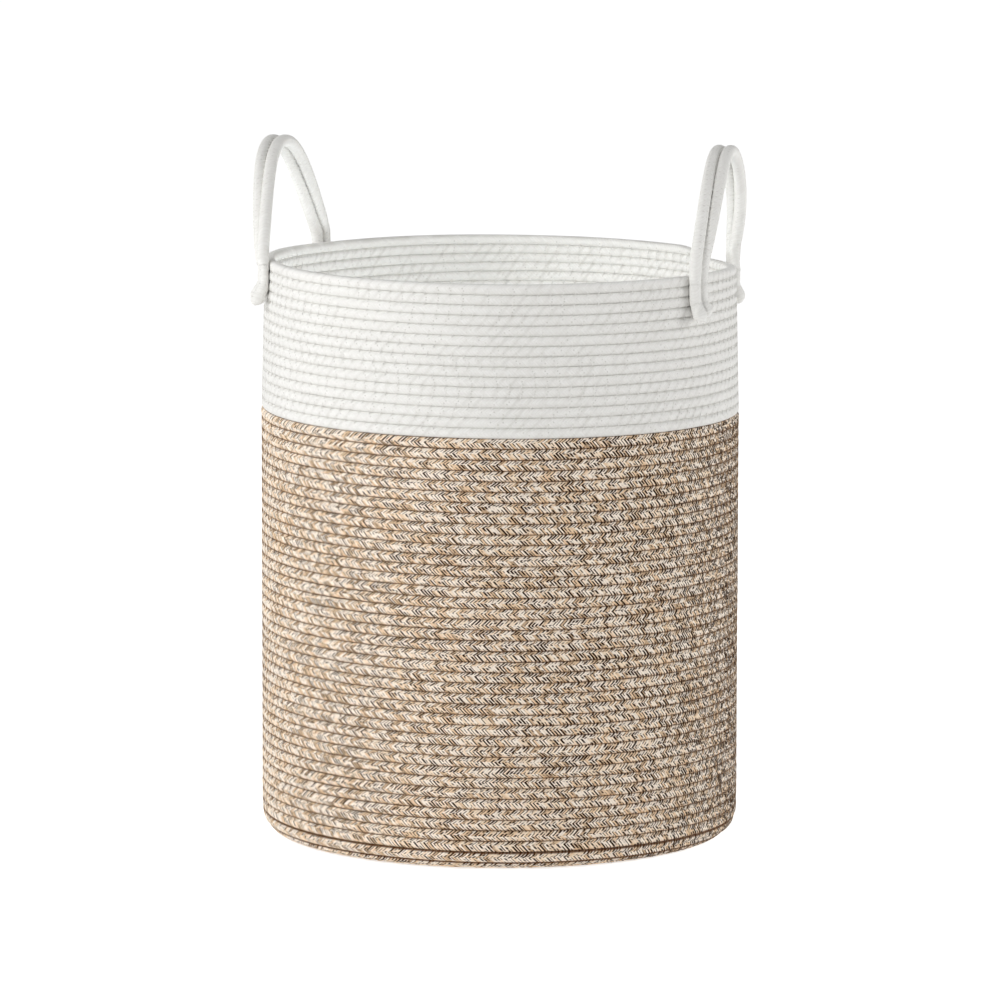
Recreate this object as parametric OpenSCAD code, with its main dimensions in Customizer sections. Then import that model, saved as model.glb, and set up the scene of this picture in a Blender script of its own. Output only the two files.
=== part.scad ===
// Tall coiled cotton-rope laundry basket with two stand-up rope handles.
// Millimetres, +Z up. The origin is the centre of the base, on the floor.
// The handles stand on the +X (right) and -X (left) sides, and -Y is the front.

/* [Basket] */
// Outside diameter of the brown wall
outer_d = 380; // [340:5:420]
// Outside diameter at the rim
rim_d = 374.4; // [334:0.2:420]
// Bend radius where the base turns up into the wall, to the rope's centre
foot_r = 14; // [10:1:20]

/* [Rope] */
// Rows of brown rope up the wall
lower_rows = 41; // [30:1:50]
// Height that one brown row takes
lower_pitch = 8.3; // [7.5:0.1:8.6]
// Thickness of the brown rope
lower_rope_d = 8.9; // [8.8:0.1:9.4]
// Rows of white rope, the rim included
upper_rows = 15; // [8:1:20]
// Height that one white row takes
upper_pitch = 7.95; // [7.2:0.05:8.2]
// Thickness of the white rope
upper_rope_d = 8.5; // [8.4:0.1:9]
// How far the floor flattens the underside of the base rope
floor_flat = 0.35; // [0.2:0.05:0.5]

/* [Thread] */
// Thickness of the sewing thread
thread_d = 0.8; // [0.6:0.1:1.2]
// Thickness of the tack stitching
tack_d = 1.2; // [1:0.1:1.6]

/* [Handles] */
// Thickness of each handle strand
strand_d = 9.6; // [8:0.1:10]
// Angle from the right handle's middle to each of its legs
right_leg_angle = 24; // [18:0.5:30]
// Angle from the left handle's middle to each of its legs
left_leg_angle = 26; // [18:0.5:30]
// Height of the arch above the point where the legs start to bend
arch_h = 82.5; // [70:0.5:110]
// Outward lean of the right arch, as a slope at its foot
right_lean = 0.167; // [0:0.001:0.3]
// Outward lean of the left arch, as a slope at its foot
left_lean = 0.245; // [0:0.001:0.25]
// How much the lean is lost again towards the top
arch_bow = 0.1; // [0:0.01:0.2]
// Height of the bend above the rim
bend_above_rim = 7; // [7:0.5:10]
// Length of each leg that is sewn to the wall, below the rim
leg_below_rim = 39; // [30:1:60]
// How far the leg ends stand off the wall
end_flare = 5; // [0:0.5:8]
// Length of the flared stretch at each leg's end
flare_length = 13; // [8:1:20]
// Space left under a handle that is folded right down
fold_gap = 3.6; // [3:0.1:5]

/* [Hidden] */

$fn = 48;
cotton_white = [0.93, 0.92, 0.89];
cotton_brown = [0.72, 0.60, 0.47];
thread_brown = [0.45, 0.32, 0.20];
thread_white = [0.88, 0.87, 0.84];

// Heights of the colour change, of the groove under the rim row, and of the rim's top
join_z = lower_rows * lower_pitch;
rim_groove_z = join_z + (upper_rows - 1) * upper_pitch;
rim_top_z = rim_groove_z + (upper_pitch + upper_rope_d) / 2;

// The rope's centreline in section: flat base, quarter bend, upright wall
lower_r = outer_d / 2 - lower_rope_d / 2;
floor_z = lower_rope_d / 2 - floor_flat;
bend_z = floor_z + foot_r;
bend_length = foot_r * PI / 2;

// Row 0 is the top brown row, and the rows count down the wall and in across the base
function row_drop(row) = join_z - bend_z - lower_pitch * (row + 0.5);
function wall_row(row) = [lower_r, bend_z + row_drop(row)];
function bend_row(angle) = [lower_r - foot_r * (1 - cos(angle)), bend_z - foot_r * sin(angle)];
function base_row(past) = [lower_r - foot_r - past, floor_z];
function row_centre(row) =
    row_drop(row) >= 0 ? wall_row(row)
    : -row_drop(row) <= bend_length ? bend_row(-row_drop(row) / foot_r * 180 / PI)
    : base_row(-row_drop(row) - bend_length);
// The wall keeps its upright rows. The row that lies over onto the floor goes with the base.
base_first_row = lower_rows - 1;
base_last_row = lower_rows + floor((row_centre(lower_rows)[0] - lower_rope_d / 2) / lower_pitch);

// Outside radius of the white wall at a height
function outside_r(z) =
    outer_d / 2 - (outer_d - rim_d) / 2 * max(0, z - join_z) / (rim_top_z - join_z);
function upper_row_centre(row) =
    let (z = join_z + upper_pitch * (row + 0.5))
    [outside_r(z) - upper_rope_d / 2, z];

// The handles' legs, with their bend just above the rim
strand_r = strand_d / 2;
leg_r = outside_r(rim_groove_z) + strand_r;
bend_height = rim_top_z + bend_above_rim;
leg_end_z = rim_top_z - leg_below_rim;
leg_top_z = bend_height - strand_r - fold_gap;

// A thread ring in each groove between two rows, bedded a little into the rope.
// face is 1 or -1: the left or the right of the way the rows are counted.
thread_sides = 4;
thread_bed = thread_d / 8;
module thread_rings(centres, rope_d, face) {
    for (i = [0 : len(centres) - 2]) {
        step = centres[i + 1] - centres[i];
        across = [-step[1], step[0]] / norm(step) * face;
        reach = sqrt(pow((rope_d + thread_d) / 2, 2) - pow(norm(step) / 2, 2)) - thread_bed;
        rotate_extrude() translate(centres[i] + step / 2 + across * reach)
            circle(d = thread_d, $fn = thread_sides);
    }
}

// Stacked turns of one rope in the half section, cut to a box
module rope_section(centres, rope_d, low, high) {
    intersection() {
        union() for (centre = centres) translate(centre) circle(d = rope_d);
        translate(low) square(high - low);
    }
}

// --- Basket ---

base_rings = [for (row = [base_first_row : base_last_row]) row_centre(row)];
wall_rings = [for (row = [0 : base_first_row - 1]) row_centre(row)];

module base_coil() {
    color(cotton_brown) {
        rotate_extrude() rope_section(base_rings, lower_rope_d, [0, 0], [outer_d, bend_z]);
        // The start of the rope, wound on itself at the middle
        cylinder(r = row_centre(base_last_row)[0], h = floor_z + lower_rope_d / 4);
    }
}

module base_stitching() {
    color(thread_brown) thread_rings(concat([row_centre(base_first_row - 1)], base_rings), lower_rope_d, -1);
}

module lower_wall_coil() {
    color(cotton_brown) rotate_extrude() difference() {
        rope_section(wall_rings, lower_rope_d, [0, 0], [outer_d, join_z]);
        translate(row_centre(base_first_row)) circle(d = lower_rope_d);
    }
}

module lower_wall_stitching() {
    color(thread_brown) thread_rings(wall_rings, lower_rope_d, 1);
}

module upper_wall_coil() {
    rings = [for (row = [0 : upper_rows - 2]) upper_row_centre(row)];
    color(cotton_white) rotate_extrude()
        rope_section(rings, upper_rope_d, [0, join_z], [outer_d, rim_groove_z]);
}

module upper_wall_stitching() {
    rings = [for (row = [0 : upper_rows - 1]) upper_row_centre(row)];
    color(thread_white) thread_rings(rings, upper_rope_d, -1);
}

module rim_coil() {
    color(cotton_white) rotate_extrude() rope_section(
        [upper_row_centre(upper_rows - 1)], upper_rope_d, [0, rim_groove_z], [outer_d, 2 * rim_groove_z]);
}

// Where round the wall the brown rope ends, and the white rope ends on the rim
rope_join_angle = 128;
rim_end_angle = 42;

// A short run of stitches that holds a rope's end, upright on the wall
module wall_tack(angle, z, height, centre_r) {
    rotate([0, 0, angle]) translate([centre_r, 0, z])
        for (i = [-1 : 1]) translate([0, i * 2 * tack_d, 0]) {
            cylinder(d = tack_d, h = height, center = true);
            for (end = [-1, 1]) translate([0, 0, end * height / 2]) sphere(d = tack_d);
        }
}

module rope_join_tack() {
    color(thread_white) wall_tack(rope_join_angle, join_z, lower_pitch, outside_r(join_z));
}

module rim_end_tack() {
    color(thread_white)
        wall_tack(rim_end_angle, rim_groove_z, upper_pitch, outside_r(rim_groove_z));
}

// --- Handle arches ---
// Built for the right side, and turned half round for the left. u runs from
// -1 at the front leg to 1 at the back leg. Each arch is two strands side by
// side: one outside the other at the top, and beside each other at the legs.

// Above 1, the arch is slimmer than a half ellipse
arch_power = 1.35;
function arch_point(u, leg_angle, lean) =
    let (h = arch_h * pow(max(0, cos(90 * u)), arch_power))
    [leg_r * cos(leg_angle) + lean * h - arch_bow * h * h / arch_h,
     leg_r * sin(leg_angle) * sin(90 * u),
     bend_height + h];

function unit(v) = v / norm(v);
function square_to(v, axis) = unit(v - axis * (v * axis));
// The arch starts upright at its feet
foot_u = 0.02;
function arch_direction(u, leg_angle, lean) =
    abs(u) > 1 - foot_u ? [0, 0, -sign(u)]
    : unit(arch_point(u + foot_u / 2, leg_angle, lean) - arch_point(u - foot_u / 2, leg_angle, lean));

// From the inner strand towards the outer one
function pair_direction(u, leg_angle, lean) =
    let (along = arch_direction(u, leg_angle, lean),
         outward = square_to([1, 0, 0], along),
         tangent = square_to([sin(leg_angle), -sign(u) * cos(leg_angle), 0], along))
    square_to(outward * cos(90 * abs(u)) + tangent * sin(90 * abs(u)), along);

// A closed tube through points, with round rings square to the route
function ring_at(point, along, r, sides) =
    let (a = square_to([1, 0, 0.01], along), b = cross(along, a))
    [for (k = [0 : sides - 1])
        point + r * (a * cos(360 * k / sides) + b * sin(360 * k / sides))];

module tube(points, directions, radii, sides) {
    count = len(points);
    rings = [for (i = [0 : count - 1]) ring_at(points[i], directions[i], radii[i], sides)];
    vertices = [for (ring = rings) for (p = ring) p];
    sides_faces = [for (i = [0 : count - 2]) for (k = [0 : sides - 1])
        [i * sides + k, i * sides + (k + 1) % sides,
         (i + 1) * sides + (k + 1) % sides, (i + 1) * sides + k]];
    start = [for (k = [sides - 1 : -1 : 0]) k];
    finish = [for (k = [0 : sides - 1]) (count - 1) * sides + k];
    polyhedron(vertices, concat(sides_faces, [start, finish]), convexity = 6);
}

arch_rings = 44;
function ring_u(i) = -1 + 2 * i / arch_rings;
// The strand's ends are rounded where it meets the sewn legs
end_round = [0.55, 0.97];
function ring_scale(i) = let (from_end = min(i, arch_rings - i))
    from_end < len(end_round) ? end_round[from_end] : 1;

// offset places the tube along the pair's direction, and lift along its flat face
module arch_tube(leg_angle, lean, offset, lift, r, sides) {
    us = [for (i = [0 : arch_rings]) ring_u(i)];
    along = [for (u = us) arch_direction(u, leg_angle, lean)];
    pair = [for (u = us) pair_direction(u, leg_angle, lean)];
    points = [for (i = [0 : arch_rings])
        arch_point(us[i], leg_angle, lean) + pair[i] * offset + cross(along[i], pair[i]) * lift];
    tube(points, along, [for (i = [0 : arch_rings]) r * ring_scale(i)], sides);
}

// Neighbouring strands touch without sharing a face
strand_gap = 0.02;
strand_sides = 12;
seam_sides = 6;

module strand(leg_angle, lean, side) {
    arch_tube(leg_angle, lean, side * strand_r, 0, strand_r - strand_gap, strand_sides);
}

module seam_thread(leg_angle, lean) {
    valley = sqrt(pow(strand_r + thread_d / 2, 2) - pow(strand_r, 2));
    for (face = [-1, 1]) arch_tube(leg_angle, lean, 0, face * valley, thread_d / 2, seam_sides);
}

module left_side() {
    rotate([0, 0, 180]) children();
}

module right_inner_strand() { color(cotton_white) strand(right_leg_angle, right_lean, -1); }
module right_outer_strand() { color(cotton_white) strand(right_leg_angle, right_lean, 1); }
module right_seam_thread() { color(thread_white) seam_thread(right_leg_angle, right_lean); }
module left_inner_strand() { left_side() color(cotton_white) strand(left_leg_angle, left_lean, -1); }
module left_outer_strand() { left_side() color(cotton_white) strand(left_leg_angle, left_lean, 1); }
module left_seam_thread() { left_side() color(thread_white) seam_thread(left_leg_angle, left_lean); }

// --- Sewn legs ---
// One strand's end on the outside of the wall. y_side is -1 on the leg at -Y
// of the right handle, and strand_side is 1 for the strand nearer the arch's middle.

module leg_frame(leg_angle, y_side, strand_side) {
    rotate([0, 0, y_side * leg_angle])
        translate([leg_r, -y_side * strand_side * strand_r, 0]) children();
}

leg_sides = 16;
flare_steps = 5;
rounding = [20, 40, 60, 80];

module leg_end(leg_angle, y_side, strand_side) {
    bottom_z = leg_end_z + strand_r;
    flare = [for (i = [0 : flare_steps]) let (t = i / flare_steps)
        [end_flare * (1 - cos(180 * t)) / 2, 0, bottom_z + flare_length * (1 - t)]];
    points = concat(
        [[0, 0, leg_top_z]], flare,
        [for (a = rounding) [end_flare, 0, bottom_z - strand_r * sin(a)]]);
    radii = concat(
        [for (i = [0 : len(flare)]) strand_r - strand_gap],
        [for (a = rounding) strand_r * cos(a)]);
    leg_frame(leg_angle, y_side, strand_side)
        tube(points, [for (p = points) [0, 0, -1]], radii, leg_sides);
}

// Thread bound round both strands of a leg at two heights
module leg_tacks(leg_angle, y_side) {
    for (z = [rim_groove_z, rim_groove_z - 2 * upper_pitch], strand_side = [-1, 1])
        leg_frame(leg_angle, y_side, strand_side) translate([0, 0, z])
            rotate_extrude() translate([strand_r, 0]) circle(d = tack_d);
}

module right_front_inner_end() { color(cotton_white) leg_end(right_leg_angle, -1, -1); }
module right_front_outer_end() { color(cotton_white) leg_end(right_leg_angle, -1, 1); }
module right_front_tacks() { color(thread_white) leg_tacks(right_leg_angle, -1); }
module right_back_inner_end() { color(cotton_white) leg_end(right_leg_angle, 1, -1); }
module right_back_outer_end() { color(cotton_white) leg_end(right_leg_angle, 1, 1); }
module right_back_tacks() { color(thread_white) leg_tacks(right_leg_angle, 1); }
module left_front_inner_end() { left_side() color(cotton_white) leg_end(left_leg_angle, 1, -1); }
module left_front_outer_end() { left_side() color(cotton_white) leg_end(left_leg_angle, 1, 1); }
module left_front_tacks() { left_side() color(thread_white) leg_tacks(left_leg_angle, 1); }
module left_back_inner_end() { left_side() color(cotton_white) leg_end(left_leg_angle, -1, -1); }
module left_back_outer_end() { left_side() color(cotton_white) leg_end(left_leg_angle, -1, 1); }
module left_back_tacks() { left_side() color(thread_white) leg_tacks(left_leg_angle, -1); }

base_coil();
base_stitching();
lower_wall_coil();
lower_wall_stitching();
upper_wall_coil();
upper_wall_stitching();
rim_coil();
rope_join_tack();
rim_end_tack();
right_inner_strand();
right_outer_strand();
right_seam_thread();
left_inner_strand();
left_outer_strand();
left_seam_thread();
right_front_inner_end();
right_front_outer_end();
right_front_tacks();
right_back_inner_end();
right_back_outer_end();
right_back_tacks();
left_front_inner_end();
left_front_outer_end();
left_front_tacks();
left_back_inner_end();
left_back_outer_end();
left_back_tacks();
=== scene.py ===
import math

import bpy
import numpy as np
from mathutils import Matrix, Vector


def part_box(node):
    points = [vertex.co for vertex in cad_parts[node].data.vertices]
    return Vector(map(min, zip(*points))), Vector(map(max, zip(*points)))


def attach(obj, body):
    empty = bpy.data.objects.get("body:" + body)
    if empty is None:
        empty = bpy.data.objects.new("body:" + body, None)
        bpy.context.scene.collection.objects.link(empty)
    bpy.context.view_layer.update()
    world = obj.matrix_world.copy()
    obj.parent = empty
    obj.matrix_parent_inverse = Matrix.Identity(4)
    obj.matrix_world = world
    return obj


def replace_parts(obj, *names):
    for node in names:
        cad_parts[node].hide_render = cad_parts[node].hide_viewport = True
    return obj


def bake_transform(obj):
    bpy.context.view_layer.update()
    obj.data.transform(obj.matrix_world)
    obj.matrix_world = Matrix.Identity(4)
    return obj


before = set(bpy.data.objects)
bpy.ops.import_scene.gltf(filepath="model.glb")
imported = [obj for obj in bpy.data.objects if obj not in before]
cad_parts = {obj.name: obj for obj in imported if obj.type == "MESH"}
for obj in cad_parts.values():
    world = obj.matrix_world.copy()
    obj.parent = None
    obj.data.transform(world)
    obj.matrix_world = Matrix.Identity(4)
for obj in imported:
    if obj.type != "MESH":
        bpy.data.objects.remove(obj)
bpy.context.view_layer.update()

# ---------------------------------------------------------------- dimensions
# Lengths are in metres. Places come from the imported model's own boxes.

MM = 0.001
BODY = "basket"
_, wall_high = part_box("lower_wall_coil")
_, rim_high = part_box("rim_coil")

OUTER_R = wall_high[0]
JOIN_Z = wall_high[2]
RIM_R = rim_high[0]
RIM_TOP = rim_high[2]
LOWER_ROWS = 41
UPPER_ROWS = 15
LOWER_PITCH = JOIN_Z / LOWER_ROWS
UPPER_PITCH = 7.95 * MM

# Half thickness of each rope through the wall
LOWER_HALF = 4.45 * MM
UPPER_HALF = 4.25 * MM
FLOOR_HALF = 4.1 * MM
# The bend from the base up into the wall
FOOT_R = 14 * MM

# The rope climbs clockwise as seen from above. Both ends are at the back.
JOIN_ANGLE = math.radians(128)
RIM_TACK_ANGLE = math.radians(42)
RIM_END_ANGLE = math.radians(36)
TURN = 2 * math.pi
# The rope's first turn starts this far from the middle of the base
CENTRE_GAP = 4.6 * MM

# The braid: four lanes of slanting plaits round the rope, which meet in arrow shapes
PLAIT = 2.7 * MM
PLAIT_SLANT = 4.8 * MM
SIDES = 16
# Each plait is a few rings, from the gap before it up over its ridge
PLAIT_PROFILE = (-1.0, 0.6, 0.5)
RINGS_PER_PLAIT = len(PLAIT_PROFILE)
RING_STEP = PLAIT / RINGS_PER_PLAIT
BROWN_RELIEF = 0.17 * MM
WHITE_RELIEF = 0.10 * MM
HANDLE_RELIEF = 0.20 * MM

# Rows are pressed square against each other, and overlap a little so that no gap shows
SQUARENESS = 2.9
ROW_OVERLAP = 1.06

# Towards a rope's end the slant dies out and the end is rounded. The rim end also tapers.
SLANT_FADE = 16 * MM
END_ROUND = 4 * MM
TAPER_LENGTH = 42 * MM
TAPER_END = 0.3

# The dents that the stitches pull into a row's face: their depths, width and slant
WHITE_DENT = 0.13 * MM
BROWN_DENT = 0.10 * MM
INNER_DENT = 0.4 * MM
DENT_WIDTH = 1.5 * MM
DENT_LEAN = 0.6

# The zigzag stitch: its slanting leg shows, and its way back is hidden in the rope
STITCH = 9.6 * MM
STITCH_REACH = 0.37
STITCH_SLANT = 0.26
THREAD_R = 0.32 * MM

# Long ropes and threads are cut into meshes of under 200,000 triangles
RINGS_PER_PIECE = 6000
STITCHES_PER_PIECE = 3600


# ---------------------------------------------------------------- mesh building


def smooth(x):
    """A step from 0 to 1 with level ends."""
    x = np.clip(x, 0.0, 1.0)
    return x * x * (3 - 2 * x)


def make_object(name, mesh, material):
    obj = bpy.data.objects.new(name, mesh)
    bpy.context.scene.collection.objects.link(obj)
    mesh.materials.append(material)
    return obj


def tube_mesh(name, rings, values=None):
    """A closed tube from rings[i, j], with a fan over each end. values: named floats per vertex."""
    count, sides = rings.shape[:2]
    ends = rings[[0, -1]].mean(axis=1)
    points = np.concatenate([rings.reshape(-1, 3), ends])
    i = np.arange(count - 1)[:, None] * sides
    j = np.arange(sides)[None, :]
    k = (j + 1) % sides
    quads = np.stack([i + j, i + k, i + sides + k, i + sides + j], axis=-1).reshape(-1, 4)
    first, last = count * sides, count * sides + 1
    j, k = j[0], k[0]
    base = (count - 1) * sides
    fan_a = np.stack([k, j, np.full(sides, first)], axis=-1)
    fan_b = np.stack([base + j, base + k, np.full(sides, last)], axis=-1)

    mesh = bpy.data.meshes.new(name)
    mesh.vertices.add(len(points))
    mesh.vertices.foreach_set("co", points.astype(np.float32).ravel())
    loops = np.concatenate([quads.ravel(), fan_a.ravel(), fan_b.ravel()])
    mesh.loops.add(len(loops))
    mesh.loops.foreach_set("vertex_index", loops.astype(np.int32))
    sizes = np.concatenate([np.full(len(quads), 4), np.full(2 * sides, 3)])
    mesh.polygons.add(len(sizes))
    starts = np.concatenate([[0], np.cumsum(sizes)[:-1]])
    mesh.polygons.foreach_set("loop_start", starts.astype(np.int32))
    mesh.polygons.foreach_set("use_smooth", np.arange(len(sizes)) < len(quads))
    mesh.update(calc_edges=True)
    for key, value in (values or {}).items():
        flat = np.concatenate([value.ravel(), value[0, :1], value[-1, :1]])
        layer = mesh.attributes.new(key, "FLOAT", "POINT")
        layer.data.foreach_set("value", flat.astype(np.float32))
    return mesh


# ---------------------------------------------------------------- the rope's path
# Turns are counted from the colour change: negative down the wall and in
# across the base, positive up to the rim.

LOWER_R = OUTER_R - LOWER_HALF
BEND_Z = FLOOR_HALF + FOOT_R
BEND_LENGTH = FOOT_R * math.pi / 2
JOIN_CENTRE_Z = JOIN_Z - 1.3 * MM
WALL_DROP = JOIN_CENTRE_Z - BEND_Z
BASE_RUN = LOWER_R - FOOT_R - CENTRE_GAP
FIRST_TURN = -(WALL_DROP + BEND_LENGTH + BASE_RUN) / LOWER_PITCH
LAST_TURN = UPPER_ROWS + (JOIN_ANGLE - RIM_END_ANGLE) / TURN

# Near the rope's end on the rim, the top rows are drawn down to level the rim: one drop
# for each row, from three rows below the top one up to it.
LEVEL_DROPS = [0.0, 0.87 * MM, 1.73 * MM, 2.6 * MM]
LEVEL_RISE = 0.35
LEVEL_RETURN = 0.2
# The white wall stands a little lower at the back
BACK_DROP = 3.3 * MM
# Slow unevenness of the wall, out of its face and up it
WOBBLE_OUT = 0.16 * MM
WOBBLE_UP = 0.10 * MM


def azimuth(turn):
    return JOIN_ANGLE - turn * TURN


def levelling(turn):
    """How far the rope at a turn is drawn down."""
    to_end = LAST_TURN - turn
    rows_down = np.floor(to_end)
    past = 1 - (to_end - rows_down)
    rising = smooth((past - 1 + LEVEL_RISE) / LEVEL_RISE)
    returning = smooth(1 - past / LEVEL_RETURN)
    drop = np.interp(3 - rows_down, range(4), LEVEL_DROPS, left=0.0)
    drop_below = np.interp(2 - rows_down, range(4), LEVEL_DROPS, left=0.0)
    return drop * rising + drop_below * returning


def section(turn):
    """The rope's centre in the half section: radius, height, and the way up the wall there."""
    drop = np.maximum(-turn * LOWER_PITCH, 0)
    behind = smooth((np.sin(azimuth(turn)) + 0.2) / 0.8) * np.clip(turn / UPPER_ROWS, 0, 1)
    rise = np.maximum(turn * UPPER_PITCH, 0) - levelling(turn) - BACK_DROP * behind
    angle = np.clip((drop - WALL_DROP) / FOOT_R, 0, math.pi / 2)
    inward = np.maximum(drop - WALL_DROP - BEND_LENGTH, 0)
    z = JOIN_CENTRE_Z + rise - np.minimum(drop, WALL_DROP) - FOOT_R * np.sin(angle)
    narrowing = (OUTER_R - RIM_R) * np.clip((z - JOIN_Z) / (RIM_TOP - JOIN_Z), 0, 1)
    half = LOWER_HALF + (UPPER_HALF - LOWER_HALF) * (turn > 0)
    r = OUTER_R - half - narrowing - FOOT_R * (1 - np.cos(angle)) - inward
    return r, z, np.sin(angle), np.cos(angle)


def place(turn, out, up, centre=None):
    """Points at a turn, moved out of the wall's face and up the wall in the half section."""
    r, z, along_r, along_z = section(turn) if centre is None else centre
    radius = r + out * along_z + up * along_r
    height = z - out * along_r + up * along_z
    angle = azimuth(turn)
    return np.stack([radius * np.cos(angle), radius * np.sin(angle), height], axis=-1)


def wobble(turn, seed, size):
    """Slow unevenness along the rope, shared by neighbouring rows."""
    angle = azimuth(turn)
    total = 0
    for k in range(1, 6):
        total = total + np.sin(k * angle * 2 + seed * k * 1.7 + 0.35 * k * turn) / k
    return total * size


# The rope's length at each turn, in fine steps
fine_turns = np.linspace(FIRST_TURN, LAST_TURN, 60000)
fine_r = section(fine_turns)[0]
fine_steps = np.diff(fine_turns) * TURN * (fine_r[1:] + fine_r[:-1]) / 2
fine_lengths = np.concatenate([[0], np.cumsum(fine_steps)])
ROPE_LENGTH = fine_lengths[-1]
JOIN_LENGTH = float(np.interp(0.0, fine_turns, fine_lengths))
BASE_LENGTH = float(np.interp(-WALL_DROP / LOWER_PITCH - 1, fine_turns, fine_lengths))


def turn_at(length):
    return np.interp(length, fine_lengths, fine_turns)


def stitch_phase(turn):
    """Stitches counted along the groove above this turn."""
    return np.interp(turn + 0.5, fine_turns, fine_lengths) / STITCH


# ---------------------------------------------------------------- ropes


def superellipse(angle, power):
    c, s = np.cos(angle), np.sin(angle)
    return (
        np.sign(c) * np.abs(c) ** (2 / power),
        np.sign(s) * np.abs(s) ** (2 / power),
    )


def lane_fold(angle):
    """0 on the arrows' points and 1 on the edges between arrows, so that plaits look straight."""
    return np.abs(np.sin(angle)) ** (2 / SQUARENESS)


def plait_relief(index, size, seed):
    """Ridges and gaps along the rope, one plait to every few rings."""
    rng = np.random.RandomState(seed)
    plait = index // RINGS_PER_PLAIT
    plait = plait - plait.min()
    bulge = rng.uniform(0.6, 1.2, plait.max() + 1)[plait]
    profile = np.array(PLAIT_PROFILE)[index % RINGS_PER_PLAIT]
    return profile * bulge * size


def row_half(turn):
    """Half the height of a row, from its distance to the rows over and under it."""
    z = section(turn)[1]
    over = section(np.minimum(turn + 1, LAST_TURN))[1] - z
    under = z - section(turn - 1)[1]
    pitch = np.where(turn > 0, UPPER_PITCH, LOWER_PITCH)
    on_wall = -turn * LOWER_PITCH < WALL_DROP - LOWER_PITCH
    top_row = turn > LAST_TURN - 1
    return np.where(on_wall, np.where(top_row, under, (over + under) / 2), pitch) / 2


def stitch_dents(turn, up, half):
    """Where thread pulls the rope in: the legs' feet over and under the row's middle."""
    total = 0
    for phase, height, lean in (
        (stitch_phase(turn), 1.0, 1), (stitch_phase(turn - 1), -1.0, -1)
    ):
        foot = height * half * 2 * (0.5 - STITCH_REACH)
        along = (phase - np.round(phase)) * STITCH - lean * (up - foot) * DENT_LEAN
        reach = np.clip((up - foot) * height / half, -1, 0.6)
        depth = np.exp(-((along / DENT_WIDTH) ** 2)) * smooth(1 + reach * 4)
        total = total + depth
    return np.minimum(total, 1)


def twist(length):
    """The slow turn of the braid about the rope's own middle."""
    angle = 0
    for k, wave in enumerate((2.3, 1.1, 0.63, 0.37)):
        angle = angle + np.sin(length / wave * TURN + 1.9 * k * k)
    return (angle + 2) * math.radians(3)


def braid_values(index, corner, phi):
    """What the materials need to know at each vertex of any rope."""
    every = np.ones_like(phi)
    return {
        "plait": index[:, None] / RINGS_PER_PLAIT * every,
        "fold": lane_fold(corner) * np.sign(np.sin(corner)) * every,
        "front": np.cos(corner) * every,
        "out_side": np.cos(phi),
    }


def rope_piece(name, start, stop, material, relief, seed):
    """One length of wall or base rope, from start to stop along its path."""
    index = np.arange(round(start / RING_STEP), round(stop / RING_STEP) + 1)
    ring_length = index[:, None] * RING_STEP
    # The slant dies out at the rope's free ends
    edge = np.minimum(ring_length, ROPE_LENGTH - ring_length)
    corner = np.arange(SIDES)[None, :] * TURN / SIDES
    length = ring_length - PLAIT_SLANT * lane_fold(corner) * smooth(edge / SLANT_FADE)
    turn = turn_at(length)
    phi = corner + twist(length)

    drop = np.clip((-turn * LOWER_PITCH - WALL_DROP) / BEND_LENGTH, 0, 1)
    half_out = np.where(turn > 0, UPPER_HALF, LOWER_HALF - (LOWER_HALF - FLOOR_HALF) * drop)
    half_up = row_half(turn) * ROW_OVERLAP

    # The rim end tapers and tucks down onto the row below. Both ends are rounded.
    taper = smooth((ROPE_LENGTH - ring_length) / TAPER_LENGTH) * (1 - TAPER_END) + TAPER_END
    tip = np.sqrt(1 - (1 - np.clip(edge / END_ROUND, 0.02, 1)) ** 2)
    x, y = superellipse(phi, SQUARENESS)
    lump = plait_relief(index, relief, seed)[:, None]
    dent_size = np.where(x < 0, INNER_DENT, np.where(turn > 0, WHITE_DENT, BROWN_DENT))
    dent = stitch_dents(turn, half_up * y, half_up) * dent_size
    dent = dent * np.sign(x) * (np.abs(x) > 0.5)
    out = (half_out * x + lump * np.cos(phi) - dent) * tip * taper
    up = (half_up * y + lump * 0.5 * np.sin(phi)) * tip * taper - half_up * (1 - taper)
    out = out + wobble(turn, 0.0, WOBBLE_OUT) * (1 - drop)
    rings = place(turn, out, up)
    rings[..., 2] += wobble(turn, 2.0, WOBBLE_UP) * (1 - drop)
    rings[..., 2] = np.maximum(rings[..., 2], 0.0)

    values = {
        **braid_values(index, corner, phi),
        "up_side": np.sin(phi),
        "height": up / MM,
        "stitch_over": stitch_phase(turn),
        "stitch_under": stitch_phase(turn - 1),
        "pull": stitch_phase(turn) + 0.41 * turn + up / STITCH * np.where(x < 0, -0.85, 0.85),
    }
    obj = make_object(name, tube_mesh(name, rings, values), material)
    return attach(obj, BODY)


def rope_run(name, start, stop, material, relief, seed):
    """A rope cut into pieces of a handy size for one mesh each."""
    count = math.ceil((stop - start) / RING_STEP / RINGS_PER_PIECE)
    cuts = np.linspace(start, stop, count + 1)
    return [
        rope_piece(f"{name}_{k + 1}", cuts[k], cuts[k + 1], material, relief, seed + k)
        for k in range(count)
    ]


# ---------------------------------------------------------------- sewing thread


def groove(turn):
    """The groove above a turn, in the half section: its middle, the way across it, and the pitch."""
    r1, z1, _, _ = section(turn)
    r2, z2, _, _ = section(turn + 1)
    run, rise = r2 - r1, z2 - z1
    size = np.hypot(run, rise)
    return (r1 + r2) / 2, (z1 + z2) / 2, run / size, rise / size, size


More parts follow.
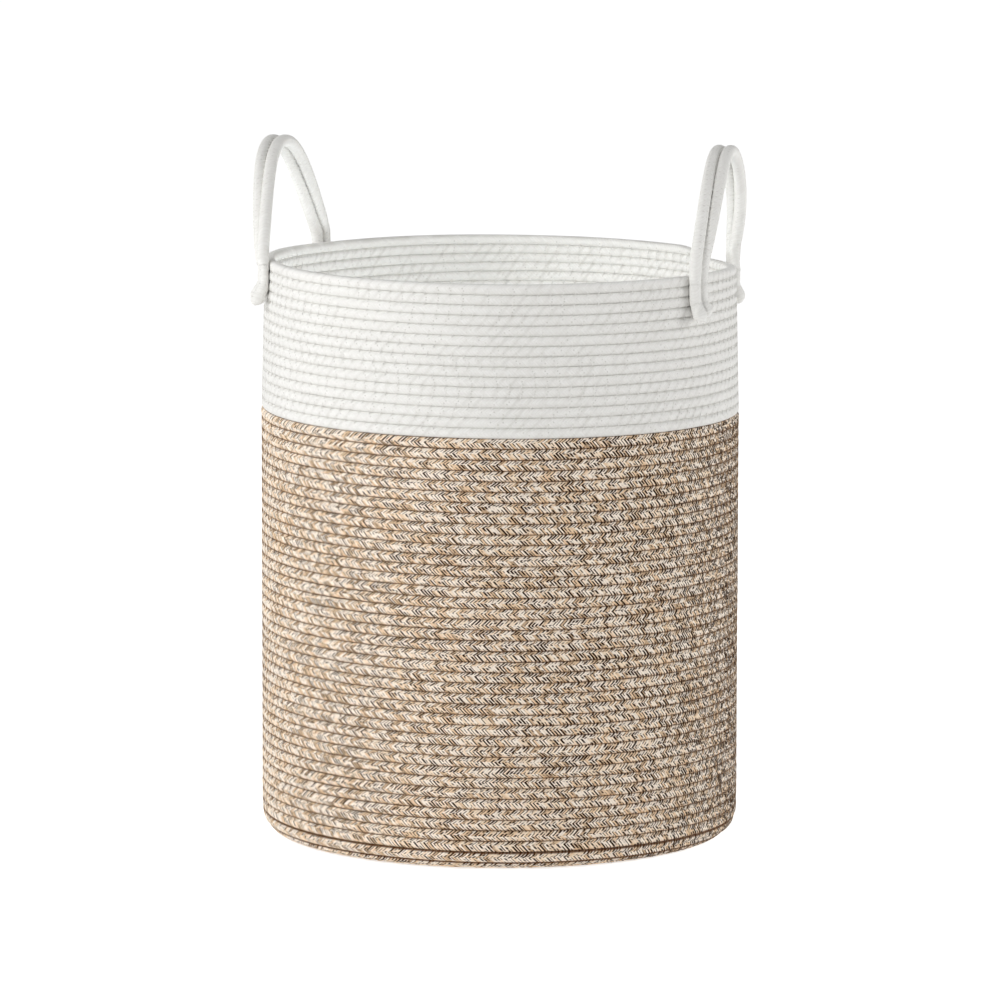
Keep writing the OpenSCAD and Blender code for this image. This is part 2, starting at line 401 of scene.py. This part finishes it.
def thread_rings(route, normal, radius, sides=4):
    """Rings round a route, set square to it."""
    ahead = np.gradient(route, axis=0)
    ahead /= np.linalg.norm(ahead, axis=1)[:, None]
    normal = normal - ahead * np.sum(normal * ahead, axis=1)[:, None]
    normal /= np.linalg.norm(normal, axis=1)[:, None]
    side = np.cross(ahead, normal)
    angles = np.arange(sides) * TURN / sides
    return route[:, None] + radius * (
        normal[:, None] * np.cos(angles)[None, :, None]
        + side[:, None] * np.sin(angles)[None, :, None]
    )


# One stitch: where its points are along the stitch, across the groove, and off the surface.
# Four points are on the slanting leg, and two are on the way back inside the rope.
STITCH_ALONG = np.array([*(STITCH_SLANT * k for k in (0.0, 0.33, 0.67, 1.0)), 0.5, 0.76])
STITCH_ACROSS = np.array([1.0, 0.36, -0.36, -1.0, -0.36, 0.36])
STITCH_LIFT = np.array([-0.4, 0.3, 0.3, -0.4, -1.5, -1.5]) * MM


def thread_run(name, start, stop, face, material):
    """Zigzag thread over the groove above the rope, on one face, in meshes of a handy size."""
    first = math.ceil(stitch_phase(start))
    last = math.floor(stitch_phase(stop))
    count = math.ceil((last - first) / STITCHES_PER_PIECE)
    cuts = np.round(np.linspace(first, last, count + 1)).astype(int)
    return [
        thread_piece(f"{name}_{k + 1}", cuts[k], cuts[k + 1], face, material)
        for k in range(count)
    ]


def thread_piece(name, first, last, face, material):
    """Whole stitches from first to last. face is 1 outside, -1 inside."""
    points = len(STITCH_ALONG)
    index = np.arange(first * points, last * points)
    point = index % points
    phase_table = stitch_phase(fine_turns)
    turn = np.interp(index // points + STITCH_ALONG[point], phase_table, fine_turns)
    centre_r, centre_z, along_r, along_z, pitch = groove(turn)

    across = STITCH_ACROSS[point] * face * pitch * STITCH_REACH
    drop = np.clip((-turn * LOWER_PITCH - WALL_DROP) / BEND_LENGTH, 0, 1)
    half_out = np.where(turn > 0, UPPER_HALF, LOWER_HALF - (LOWER_HALF - FLOOR_HALF) * drop)
    reach = np.clip((pitch / 2 - np.abs(across)) / (pitch / 2 * ROW_OVERLAP), 0, 0.93)
    surface = half_out * (1 - reach**SQUARENESS) ** (1 / SQUARENESS)
    out = surface + STITCH_LIFT[point]
    if face > 0:
        out = np.where(drop > 0.5, np.minimum(out, half_out - THREAD_R), out)
    centre = (centre_r, centre_z, along_r, along_z)
    route = place(turn, out * face, across, centre)
    normal = place(turn, out * face + MM, across, centre) - route
    mesh = tube_mesh(name, thread_rings(route, normal, THREAD_R))
    obj = make_object(name, mesh, material)
    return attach(obj, BODY)


# ---------------------------------------------------------------- handles
# Each handle is one pair of strands: up the wall from its front end, over the
# arch, and down to its back end. Built for the right side. The left is turned
# half round.

BEND_HEIGHT = RIM_TOP + 7 * MM
TACK_HEIGHTS = [RIM_TOP - 8.2 * MM, RIM_TOP - 24.1 * MM]
ARCH_H = 81 * MM
ARCH_POWER = 1.35
STRAND_R = 4.8 * MM
LEG_R = RIM_R + STRAND_R
# The loose ends of the legs stand off the wall a little
FLARE = 5 * MM
FLARE_LENGTH = 16 * MM
# The tacks pinch the strands
PINCH_OUT = 0.5 * MM
PINCH_ACROSS = 0.2 * MM
PINCH_WIDTH = 1.3 * MM
STRAND_SQUARENESS = 2.15
STRAND_SPACING = STRAND_R * 0.97
STRAND_END_ROUND = 4.5 * MM
SEAM_STITCH = 4.8 * MM
SEAM_DENT = 0.25 * MM
# Each handle starts at the leg that stands at -Y before the left one is turned round:
# the right one's front leg, and the left one's back leg. The legs' angles are in degrees,
# and their lengths below the rim in millimetres. The arch leans outward by its height times
# lean, and belly curves each side of it out, or in where it is below 0, between foot and top.
# flat is how thick a strand stays where it is sewn to the wall.
HANDLES = {
    "right": {
        "half_round": 1,
        "legs": (24, 26.5),
        "lengths": (37, 43),
        "lean": 0.067,
        "belly": (0.1, 0.1),
        "flat": 0.92,
    },
    "left": {
        "half_round": -1,
        "legs": (28, 24),
        "lengths": (41, 34),
        "lean": 0.145,
        "belly": (0.1, -0.1),
        "flat": 0.75,
    },
}


def wall_radius(z):
    return OUTER_R - (OUTER_R - RIM_R) * np.clip((z - JOIN_Z) / (RIM_TOP - JOIN_Z), 0, 1)


def leg_route(plan, leg):
    """One sewn leg from its loose end up to the bend. leg is 0 at -Y and 1 at +Y."""
    angle = math.radians(plan["legs"][leg])
    y_side = (-1, 1)[leg]
    bottom = RIM_TOP - plan["lengths"][leg] * MM
    z = np.linspace(bottom, BEND_HEIGHT, 160)[:-1]
    # Sewn flat between the loose end and the rim
    sewn = smooth((z - bottom - 9 * MM) / (9 * MM)) * (1 - smooth((z - RIM_TOP + 6 * MM) / (12 * MM)))
    flat = 1 - (1 - plan["flat"]) * sewn
    flare = FLARE * (1 - smooth((z - bottom) / FLARE_LENGTH))
    height = np.clip((z - RIM_TOP) / (BEND_HEIGHT - RIM_TOP), 0, 1)
    sewn_r = wall_radius(z) + STRAND_R * flat + flare
    radius = sewn_r + (LEG_R - sewn_r) * smooth(height)
    point = np.stack([radius * math.cos(angle), radius * math.sin(angle) * y_side, z], axis=-1)
    pair = np.tile([math.sin(angle), -y_side * math.cos(angle), 0.0], (len(z), 1))
    return point, pair, flat


def handle_route(plan):
    """The pair's middle line, the way from its inner to its outer strand, and its flatness."""
    first, last = leg_route(plan, 0), leg_route(plan, 1)
    u = np.linspace(-1, 1, 600)
    across = np.sin(math.pi / 2 * u)
    upright = np.abs(across)
    angle = np.radians(np.where(u < 0, plan["legs"][0], plan["legs"][1]))
    belly = np.where(u < 0, plan["belly"][0], plan["belly"][1])
    foot_a, foot_b = (math.radians(degrees) for degrees in plan["legs"])
    share = (across + 1) / 2
    h = ARCH_H * np.maximum(0, np.cos(math.pi / 2 * u)) ** ARCH_POWER
    arch = np.stack([
        LEG_R * (math.cos(foot_a) * (1 - share) + math.cos(foot_b) * share)
        + plan["lean"] * h + belly * h * (1 - h / ARCH_H),
        LEG_R * (math.sin(foot_b) * share - math.sin(foot_a) * (1 - share)),
        BEND_HEIGHT + h,
    ], axis=-1)
    arch_pair = np.stack([
        np.cos(math.pi / 2 * u) + np.sin(angle) * upright,
        -np.sign(u) * np.cos(angle) * upright,
        np.zeros_like(u),
    ], axis=-1)

    point = np.concatenate([first[0], arch, last[0][::-1]])
    pair = np.concatenate([first[1], arch_pair, last[1][::-1]])
    flat = np.concatenate([first[2], np.ones(len(u)), last[2][::-1]])
    ahead = np.gradient(point, axis=0)
    ahead /= np.linalg.norm(ahead, axis=1)[:, None]
    pair -= ahead * np.sum(pair * ahead, axis=1)[:, None]
    pair /= np.linalg.norm(pair, axis=1)[:, None]
    turn_round = np.array([plan["half_round"], plan["half_round"], 1])
    return point * turn_round, pair * turn_round, flat


class Handle:
    """A handle's route, looked up by the length along it."""

    def __init__(self, plan):
        self.point, self.pair, self.flat = handle_route(plan)
        steps = np.linalg.norm(np.diff(self.point, axis=0), axis=1)
        self.lengths = np.concatenate([[0], np.cumsum(steps)])
        self.length = self.lengths[-1]

    def look_up(self, values, length):
        if values.ndim == 1:
            return np.interp(length, self.lengths, values)
        columns = [np.interp(length, self.lengths, values[:, k]) for k in range(3)]
        return np.stack(columns, axis=-1)

    def frame(self, length):
        """Middle point, way across the pair, and way out of its face."""
        centre = self.look_up(self.point, length)
        pair = self.look_up(self.pair, length)
        pair /= np.linalg.norm(pair, axis=-1)[..., None]
        ahead = self.look_up(self.point, length + MM) - self.look_up(self.point, length - MM)
        face = np.cross(ahead, pair)
        face /= np.linalg.norm(face, axis=-1)[..., None]
        # The same face all along: outward at the legs, and upward at the top
        outward = centre * np.array([1, 1, 0]) + np.array([0, 0, 0.2])
        sign = np.sign(np.sum(outward * face, axis=-1))
        return centre, pair, face * sign[..., None]

    def thickness(self, length):
        """Half thicknesses of a strand: out of the pair's face, and across the pair."""
        flat = self.look_up(self.flat, length)
        pinch = 0
        z = self.look_up(self.point, length)[..., 2]
        for height in TACK_HEIGHTS:
            pinch = pinch + np.exp(-(((z - height) / PINCH_WIDTH) ** 2))
        half_out = STRAND_R * flat - pinch * PINCH_OUT
        half_across = STRAND_R * (1.06 - 0.06 * flat) - pinch * PINCH_ACROSS
        return half_out, half_across


def strand(name, handle, side, seed, shorten):
    """One strand of a handle. side is -1 for the inner strand, 1 for the outer."""
    first, last = shorten / RING_STEP, (handle.length - shorten) / RING_STEP
    index = np.arange(round(first), round(last) + 1)
    ring_length = index[:, None] * RING_STEP
    edge = np.minimum(ring_length - shorten, handle.length - shorten - ring_length)
    corner = np.arange(SIDES)[None, :] * TURN / SIDES
    slant = PLAIT_SLANT * smooth(edge / SLANT_FADE)
    length = ring_length - slant * lane_fold(corner)
    phi = corner + twist(length + seed)

    centre, pair, face = handle.frame(length)
    half_out, half_across = handle.thickness(length)
    lump = plait_relief(index, HANDLE_RELIEF, seed)[:, None]
    # The cut ends fluff out a little before they round off
    puff = 1 + 0.14 * np.exp(-(((edge - 6 * MM) / (5 * MM)) ** 2))
    tip = np.sqrt(1 - (1 - np.clip(edge / STRAND_END_ROUND, 0.02, 1)) ** 2) * puff
    x, y = superellipse(phi, STRAND_SQUARENESS)
    seam_phase = length / SEAM_STITCH
    along = (seam_phase - np.round(seam_phase)) * SEAM_STITCH
    seam_side = -side * np.sin(phi)
    dent = np.exp(-((along / (1.1 * MM)) ** 2)) * smooth((seam_side - 0.1) / 0.7) * SEAM_DENT
    out = (half_out * x + (lump - dent) * np.cos(phi)) * tip
    across = (half_across * y + (lump - dent) * np.sin(phi)) * tip
    rings = centre + face * out[..., None] + pair * (side * STRAND_SPACING + across)[..., None]

    # The needle holes run beside the seam, and nothing pulls valleys across a strand
    values = {
        **braid_values(index, corner, phi),
        "up_side": np.zeros_like(phi),
        "height": -side * np.degrees(np.arctan2(np.sin(phi), np.abs(np.cos(phi)))) / 22,
        "stitch_over": seam_phase,
        "stitch_under": seam_phase + 0.25,
        "pull": np.full_like(phi, 0.5),
    }
    return make_object(name, tube_mesh(name, rings, values), WHITE_ROPE)


# One stitch of a handle's seam, as for the wall's stitches
SEAM_ALONG = np.array([0.0, 0.12, 0.24, 0.36, 0.58, 0.8])
SEAM_ACROSS = np.array([1.0, 0.4, -0.4, -1.0, -0.3, 0.3])
SEAM_LIFT = np.array([-0.5, 0.25, 0.25, -0.5, -2.0, -2.0]) * MM
SEAM_REACH = 2.3 * MM
SEAM_MARGIN = 14 * MM
SEAM_THREAD_R = 0.33 * MM


def seam(name, handle, face_side):
    """Zigzag thread over the valley between the strands, on one face."""
    points = len(SEAM_ALONG)
    first = math.ceil(SEAM_MARGIN / SEAM_STITCH)
    last = math.floor((handle.length - SEAM_MARGIN) / SEAM_STITCH)
    index = np.arange(first * points, last * points)
    point = index % points
    length = (index // points + SEAM_ALONG[point]) * SEAM_STITCH
    centre, pair, face = handle.frame(length)
    half_out, _ = handle.thickness(length)
    across = SEAM_ACROSS[point] * SEAM_REACH
    bulge = np.sqrt(np.maximum(STRAND_R**2 - (STRAND_R - np.abs(across)) ** 2, 0)) / STRAND_R
    out = np.maximum(half_out * bulge, half_out * 0.5) + SEAM_LIFT[point]
    route = centre + face * (face_side * out)[:, None] + pair * across[:, None]
    rings = thread_rings(route, face * face_side, SEAM_THREAD_R, 5)
    return make_object(name, tube_mesh(name, rings), WHITE_THREAD)


TACK_THREAD_R = 0.42 * MM
TACK_SLIP = 0.45 * MM
TACK_LIFT = 0.12 * MM
TACK_POINTS = 12


def leg_tack(handle, at_start):
    """Two turns of thread drawn tight across a leg's pair of strands, at each tack height."""
    parts = []
    lengths = np.linspace(0, handle.length / 4, 400)
    heights = handle.look_up(handle.point, lengths)[:, 2]
    for height in TACK_HEIGHTS:
        for slip in (-TACK_SLIP, TACK_SLIP):
            at = float(np.interp(height + slip, heights, lengths))
            # Over the inner strand from its outer side to the valley, then over the other
            angle = np.radians(np.linspace(-100, 62, TACK_POINTS))
            angle = np.concatenate([angle, -angle[::-1]])
            side = np.repeat([-1.0, 1.0], TACK_POINTS)
            length = at + np.linspace(-1, 1, 2 * TACK_POINTS) * slip
            length = length if at_start else handle.length - length
            centre, pair, face = handle.frame(length)
            half_out, half_across = handle.thickness(length)
            out = (half_out + TACK_LIFT) * np.cos(angle)
            across = side * STRAND_R + (half_across + TACK_LIFT) * np.sin(angle)
            route = centre + face * out[:, None] + pair * across[:, None]
            normal = face * np.cos(angle)[:, None] + pair * np.sin(angle)[:, None]
            parts.append(thread_rings(route, normal, TACK_THREAD_R, 6))
    return parts


def joined_tubes(name, parts):
    """One mesh from several tubes of the same kind."""
    vertices, faces = [], []
    for rings in parts:
        piece = tube_mesh(name + "_part", rings)
        start = len(vertices)
        vertices += [tuple(v.co) for v in piece.vertices]
        faces += [tuple(start + k for k in polygon.vertices) for polygon in piece.polygons]
        bpy.data.meshes.remove(piece)
    mesh = bpy.data.meshes.new(name)
    mesh.from_pydata(vertices, [], faces)
    mesh.polygons.foreach_set("use_smooth", [True] * len(faces))
    return mesh


WALL_TACK_HALF = 4.2 * MM
WALL_TACK_SUNK = 0.6 * MM
WALL_TACK_BULGE = 0.9 * MM
WALL_TACK_SPACING = 2.4 * MM
WALL_TACK_THREAD_R = 0.5 * MM


def wall_tack(name, angle, z):
    """Three upright stitches over a groove, where a rope ends."""
    parts = []
    for k in (-1, 0, 1):
        turn_angle = angle + k * WALL_TACK_SPACING / OUTER_R
        rise = np.linspace(-1, 1, 9)
        out = wall_radius(z) - WALL_TACK_SUNK + WALL_TACK_BULGE * np.sqrt(1 - rise**2)
        radial = np.array([math.cos(turn_angle), math.sin(turn_angle), 0])
        route = out[:, None] * radial + rise[:, None] * np.array([0, 0, WALL_TACK_HALF])
        route[:, 2] += z
        normal = np.tile(radial, (len(rise), 1))
        parts.append(thread_rings(route, normal, WALL_TACK_THREAD_R, 6))
    obj = make_object(name, joined_tubes(name, parts), WHITE_THREAD)
    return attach(obj, BODY)


# ---------------------------------------------------------------- materials


class Shader:
    """Short calls for building one material's nodes."""

    def __init__(self, name):
        self.material = bpy.data.materials.new(name)
        self.material.use_nodes = True
        self.tree = self.material.node_tree
        self.surface = self.tree.nodes["Principled BSDF"]

    def link(self, source, target):
        self.tree.links.new(source, target)

    def put(self, socket, value):
        if isinstance(value, bpy.types.NodeSocket):
            self.link(value, socket)
        elif value is not None:
            socket.default_value = value

    def attribute(self, name):
        node = self.tree.nodes.new("ShaderNodeAttribute")
        node.attribute_name = name
        return node.outputs["Fac"]

    def math(self, operation, a, b=None):
        node = self.tree.nodes.new("ShaderNodeMath")
        node.operation = operation
        for socket, value in zip(node.inputs, (a, b)):
            self.put(socket, value)
        return node.outputs[0]

    def vector(self, x, y, z):
        node = self.tree.nodes.new("ShaderNodeCombineXYZ")
        for socket, value in zip(node.inputs, (x, y, z)):
            self.put(socket, value)
        return node.outputs[0]

    def position(self):
        return self.tree.nodes.new("ShaderNodeTexCoord").outputs["Object"]

    def random(self, vector):
        node = self.tree.nodes.new("ShaderNodeTexWhiteNoise")
        node.noise_dimensions = "3D"
        self.put(node.inputs["Vector"], vector)
        return node.outputs["Value"]

    def noise(self, vector, scale, detail=2.0, roughness=0.5):
        node = self.tree.nodes.new("ShaderNodeTexNoise")
        self.put(node.inputs["Vector"], vector)
        node.inputs["Scale"].default_value = scale
        node.inputs["Detail"].default_value = detail
        node.inputs["Roughness"].default_value = roughness
        return node.outputs["Fac"]

    def span(self, value, low, high, to_low=0.0, to_high=1.0):
        node = self.tree.nodes.new("ShaderNodeMapRange")
        node.interpolation_type = "SMOOTHSTEP"
        for key, number in (
            ("Value", value), ("From Min", low), ("From Max", high),
            ("To Min", to_low), ("To Max", to_high),
        ):
            self.put(node.inputs[key], number)
        return node.outputs["Result"]

    def steps(self, value, stops, mode="CONSTANT"):
        node = self.tree.nodes.new("ShaderNodeValToRGB")
        node.color_ramp.interpolation = mode
        ramp = node.color_ramp.elements
        while len(ramp) < len(stops):
            ramp.new(1.0)
        for element, (place_at, colour) in zip(ramp, stops):
            element.position = place_at
            element.color = (*colour, 1)
        self.put(node.inputs["Fac"], value)
        return node.outputs["Color"]

    def mix(self, factor, a, b, mode="MIX"):
        node = self.tree.nodes.new("ShaderNodeMix")
        node.data_type = "RGBA"
        node.blend_type = mode
        self.put(node.inputs["Factor"], factor)
        for socket, value in ((node.inputs[6], a), (node.inputs[7], b)):
            self.put(socket, (*value, 1) if isinstance(value, tuple) else value)
        return node.outputs[2]

    def bump(self, height, distance):
        node = self.tree.nodes.new("ShaderNodeBump")
        node.inputs["Strength"].default_value = 0.5
        node.inputs["Distance"].default_value = distance
        self.put(node.inputs["Height"], height)
        self.link(node.outputs["Normal"], self.surface.inputs["Normal"])

    def finish(self, colour, roughness, sheen):
        self.put(self.surface.inputs["Base Color"], colour)
        self.put(self.surface.inputs["Roughness"], roughness)
        self.surface.inputs["Sheen Weight"].default_value = sheen
        self.surface.inputs["Sheen Roughness"].default_value = 0.6
        self.surface.inputs["Specular IOR Level"].default_value = 0.15
        return self.material


# Colours of the yarns and needle holes, and of the painted shade in the braid's gaps, in the grooves
# and on the rows' lower sides
CREAM = (0.97, 0.87, 0.76)
PALE = (0.93, 0.77, 0.60)
SAND = (0.82, 0.61, 0.41)
TAN = (0.60, 0.43, 0.28)
GAP_SHADE = (0.030, 0.012, 0.004)
GROOVE_SHADE = (0.13, 0.050, 0.016)
WARM_SHADE = (0.85, 0.66, 0.46)
WHITE = (0.90, 0.895, 0.87)
DULL_WHITE = (0.82, 0.81, 0.78)
DULL_FIBRE = (0.78, 0.77, 0.73)
SHADE = (0.60, 0.585, 0.545)
NEEDLE_HOLE = (0.42, 0.40, 0.36)


def braid_facts(s):
    """Two random numbers for a plait, how far across it, its fibres, and how near the row's edge."""
    plait = s.attribute("plait")
    number = s.math("FLOOR", plait)
    across = s.math("SUBTRACT", plait, number)
    upper = s.math("GREATER_THAN", s.attribute("fold"), 0.0)
    outer = s.math("GREATER_THAN", s.attribute("front"), 0.0)
    lane = s.math("ADD", upper, s.math("MULTIPLY", outer, 2.0))
    pick = s.random(s.vector(number, lane, 0.0))
    fibre_place = s.vector(s.math("MULTIPLY", plait, 5.0), s.attribute("fold"), lane)
    fibre = s.noise(fibre_place, 1.0, 3.0, 0.6)
    crease = s.math("ABSOLUTE", s.attribute("up_side"))
    width = s.random(s.vector(number, lane, 5.0))
    return width, pick, across, fibre, crease


def needle_dots(s):
    """1 at each needle hole, where the thread's legs enter the rope."""
    total = 0.0
    for phase, height in (("stitch_over", 1.0), ("stitch_under", -1.0)):
        count = s.attribute(phase)
        along = s.math("SUBTRACT", count, s.math("ROUND", count))
        along = s.math("MULTIPLY", along, STITCH / MM)
        up = s.math("SUBTRACT", s.attribute("height"), height)
        squares = s.math("ADD", s.math("MULTIPLY", along, along), s.math("MULTIPLY", up, up))
        away = s.math("SQRT", squares)
        total = s.math("ADD", s.span(away, 0.35, 0.8, 1.0, 0.0), total)
    return total


def brown_rope():
    s = Shader("brown_rope")
    width, pick, across, fibre, crease = braid_facts(s)
    colour = s.steps(pick, [(0.0, CREAM), (0.5, PALE), (0.78, SAND), (0.94, TAN)])
    colour = s.mix(s.span(fibre, 0.40, 0.62, 0.0, 0.2), colour, SAND)
    # Painted shade in the gap between two plaits, thin or wide, and left out for part of its way
    dark = s.math("GREATER_THAN", across, s.span(width, 0.1, 0.9, 0.70, 0.30))
    broken = s.noise(s.vector(s.math("MULTIPLY", width, 90.0), s.attribute("fold"), pick), 2.2, 0.0)
    dark = s.math("MULTIPLY", dark, s.span(broken, 0.36, 0.5, 0.12, 1.0))
    colour = s.mix(dark, colour, GAP_SHADE)
    warm = s.span(s.attribute("up_side"), -0.2, -0.9, 0.0, 0.6)
    colour = s.mix(warm, colour, WARM_SHADE, "MULTIPLY")
    # Painted shade in the groove between rows
    colour = s.mix(s.span(crease, 0.74, 0.92, 0.0, 0.88), colour, GROOVE_SHADE)
    s.bump(fibre, 0.25 * MM)
    return s.finish(colour, s.span(fibre, 0.2, 0.8, 0.97, 0.86), 0.02)


def white_rope():
    s = Shader("white_rope")
    _, pick, across, fibre, crease = braid_facts(s)
    yarn = s.steps(pick, [(0.0, WHITE), (1.0, DULL_WHITE)], "LINEAR")
    fibres = s.steps(fibre, [(0.25, DULL_FIBRE), (0.6, WHITE)], "LINEAR")
    colour = s.mix(0.5, yarn, fibres)
    gap = s.math("ABSOLUTE", s.math("SUBTRACT", across, 0.5))
    colour = s.mix(s.span(gap, 0.36, 0.5, 0.0, 0.22), colour, SHADE)
    colour = s.mix(s.span(crease, 0.92, 1.0, 0.0, 0.15), colour, SHADE)
    colour = s.mix(s.span(s.attribute("up_side"), 0.3, -0.9, 0.0, 0.34), colour, SHADE)
    # Some needle holes have closed up
    open_holes = s.span(s.noise(s.position(), 60.0), 0.42, 0.6, 0.0, 0.42)
    colour = s.mix(s.math("MULTIPLY", needle_dots(s), open_holes), colour, NEEDLE_HOLE)
    # The slanting valley that each stitch pulls across the row
    count = s.attribute("pull")
    valley = s.math("ABSOLUTE", s.math("SUBTRACT", count, s.math("ROUND", count)))
    strength = s.span(s.attribute("out_side"), -0.2, 0.2, 0.45, 0.32)
    soft = s.span(s.noise(s.position(), 45.0), 0.35, 0.65, 0.0, strength)
    colour = s.mix(s.math("MULTIPLY", s.span(valley, 0.3, 0.0), soft), colour, SHADE)
    s.bump(fibre, 0.2 * MM)
    return s.finish(colour, s.span(fibre, 0.2, 0.8, 0.92, 0.78), 0.15)


def thread(name, light, dark):
    s = Shader(name)
    grain = s.noise(s.position(), 2500.0, 2.0)
    colour = s.mix(s.span(grain, 0.35, 0.65), light, dark)
    s.bump(grain, 0.1 * MM)
    return s.finish(colour, s.span(grain, 0.3, 0.7, 0.6, 0.85), 0.1)


BROWN_ROPE = brown_rope()
WHITE_ROPE = white_rope()
BROWN_THREAD = thread("brown_thread", (0.40, 0.26, 0.15), (0.16, 0.09, 0.045))
WHITE_THREAD = thread("white_thread", (0.88, 0.875, 0.85), (0.74, 0.73, 0.70))


# ---------------------------------------------------------------- camera, floor and light

SKY = 0.3
FLOOR_GLOW = 0.3
# Name, place, size and power
LIGHTS = [
    ("key", (-3.0, -1.2, 1.6), 1.6, 27),
    ("front", (-1.6, -3.2, 2.2), 1.6, 60),
    ("fill", (3.0, 0.6, 1.2), 1.6, 34),
]
# A small lamp inside the basket, well clear of its wall, facing up and hidden from the camera
INSIDE_LIGHT = ("inside", (-0.04, -0.03, 0.25), 0.14, 0.52)
INSIDE_COLOUR = (0.90, 0.96, 1.0)


def make_camera():
    """The photograph's viewpoint: in front, a little to the right, and above the rim."""
    distance, height = 5.581, 1.078
    around, pitch, roll = math.radians(12.5), math.radians(8.29), math.radians(0.12)
    data = bpy.data.cameras.new("camera")
    data.lens = 254.4
    data.sensor_width = 36
    data.clip_start, data.clip_end = 0.1, 100
    camera = bpy.data.objects.new("camera", data)
    bpy.context.scene.collection.objects.link(camera)
    ahead_x, ahead_y = -math.sin(around), math.cos(around)
    camera.location = (-ahead_x * distance, -ahead_y * distance, height)
    forward = Vector((ahead_x * math.cos(pitch), ahead_y * math.cos(pitch), -math.sin(pitch)))
    tilt = Matrix.Rotation(roll, 3, "Z").to_quaternion()
    camera.rotation_mode = "QUATERNION"
    camera.rotation_quaternion = forward.to_track_quat("-Z", "Y") @ tilt
    bpy.context.scene.camera = camera


def seen_as(tree, lighting, seen):
    """A glow's strength: one value for the light it gives, and another for how bright it is seen."""
    path = tree.nodes.new("ShaderNodeLightPath")
    span = tree.nodes.new("ShaderNodeMapRange")
    tree.links.new(path.outputs["Is Camera Ray"], span.inputs["Value"])
    span.inputs["To Min"].default_value = lighting
    span.inputs["To Max"].default_value = seen
    return span.outputs["Result"]


def make_floor():
    """A plain floor just under the basket, with a faint glow so that it is seen as white."""
    mesh = bpy.data.meshes.new("floor")
    mesh.from_pydata([(-20, -20, 0), (20, -20, 0), (20, 20, 0), (-20, 20, 0)], [], [(0, 1, 2, 3)])
    floor = bpy.data.objects.new("floor", mesh)
    bpy.context.scene.collection.objects.link(floor)
    floor.location.z = -0.2 * MM
    s = Shader("floor")
    s.surface.inputs["Emission Color"].default_value = (1, 1, 1, 1)
    s.put(s.surface.inputs["Emission Strength"], seen_as(s.tree, FLOOR_GLOW, 0.75))
    mesh.materials.append(s.finish((0.94, 0.94, 0.94, 1), 0.9, 0.0))


def make_light(name, place_at, size, power):
    data = bpy.data.lights.new(name, "AREA")
    data.shape = "DISK"
    data.size = size
    data.energy = power
    light = bpy.data.objects.new(name, data)
    bpy.context.scene.collection.objects.link(light)
    light.location = place_at
    aim = Vector((0, 0, 0.25)) - Vector(place_at)
    light.rotation_mode = "QUATERNION"
    light.rotation_quaternion = aim.to_track_quat("-Z", "Y")
    return light


def make_studio():
    world = bpy.data.worlds.new("studio")
    world.use_nodes = True
    tree = world.node_tree
    background = tree.nodes["Background"]
    background.inputs["Color"].default_value = (1, 1, 1, 1)
    tree.links.new(seen_as(tree, SKY, 1.0), background.inputs["Strength"])
    bpy.context.scene.world = world
    for plan in LIGHTS:
        make_light(*plan)
    inside = make_light(*INSIDE_LIGHT)
    inside.data.color = INSIDE_COLOUR
    inside.rotation_quaternion = Vector((0, 0, 1)).to_track_quat("-Z", "Y")
    inside.visible_camera = False
    bpy.context.scene.view_settings.view_transform = "Standard"
    bpy.context.scene.view_settings.look = "None"


make_camera()
make_floor()
make_studio()


# ---------------------------------------------------------------- basket

base_ropes = rope_run(
    "base_rope", 0.0, BASE_LENGTH, BROWN_ROPE, BROWN_RELIEF, 11
)
lower_ropes = rope_run(
    "lower_rope", BASE_LENGTH, JOIN_LENGTH, BROWN_ROPE, BROWN_RELIEF, 31
)
upper_ropes = rope_run(
    "upper_rope", JOIN_LENGTH, ROPE_LENGTH, WHITE_ROPE, WHITE_RELIEF, 61
)
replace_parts(base_ropes[0], "base_coil")
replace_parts(lower_ropes[0], "lower_wall_coil")
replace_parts(upper_ropes[0], "upper_wall_coil")
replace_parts(upper_ropes[-1], "rim_coil")

# Thread over every groove, inside and outside, but for the one where the colours meet
WALL_TURN = -WALL_DROP / LOWER_PITCH - 1
for face, word in ((1, "outer"), (-1, "inner")):
    base_thread = thread_run(
        f"base_{word}_thread", FIRST_TURN + 1, WALL_TURN - 1.5, face, BROWN_THREAD
    )
    lower_thread = thread_run(
        f"lower_{word}_thread", WALL_TURN - 1.5, -1.0, face, BROWN_THREAD
    )
    upper_thread = thread_run(
        f"upper_{word}_thread", 0.0, LAST_TURN - 1, face, WHITE_THREAD
    )
    if face > 0:
        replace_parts(base_thread[0], "base_stitching")
        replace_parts(lower_thread[0], "lower_wall_stitching")
        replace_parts(upper_thread[0], "upper_wall_stitching")

for angle, z, node in (
    (JOIN_ANGLE, JOIN_Z, "rope_join_tack"),
    (RIM_TACK_ANGLE, RIM_TOP - 11.5 * MM, "rim_end_tack"),
):
    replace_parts(wall_tack(node + "_stitches", angle, z), node)


# ---------------------------------------------------------------- handle pieces

for word, plan in HANDLES.items():
    handle = Handle(plan)
    pieces = []
    for part, side, seed, shorten in (("inner", -1, 5, 0.0), ("outer", 1, 9, 3 * MM)):
        piece = strand(f"{word}_{part}_rope", handle, side, seed, shorten)
        pieces.append(piece)
        ends = [f"{word}_{end}_{part}_end" for end in ("front", "back")]
        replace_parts(piece, f"{word}_{part}_strand", *ends)
    for face_side, face_word in ((1, "outside"), (-1, "inside")):
        pieces.append(seam(f"{word}_{face_word}_seam", handle, face_side))
    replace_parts(pieces[-2], f"{word}_seam_thread")
    for piece in pieces:
        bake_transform(piece)
    for end, at_start in (("front", word == "right"), ("back", word == "left")):
        name = f"{word}_{end}_tack_thread"
        mesh = joined_tubes(name, leg_tack(handle, at_start))
        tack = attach(make_object(name, mesh, WHITE_THREAD), BODY)
        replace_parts(tack, f"{word}_{end}_tacks")
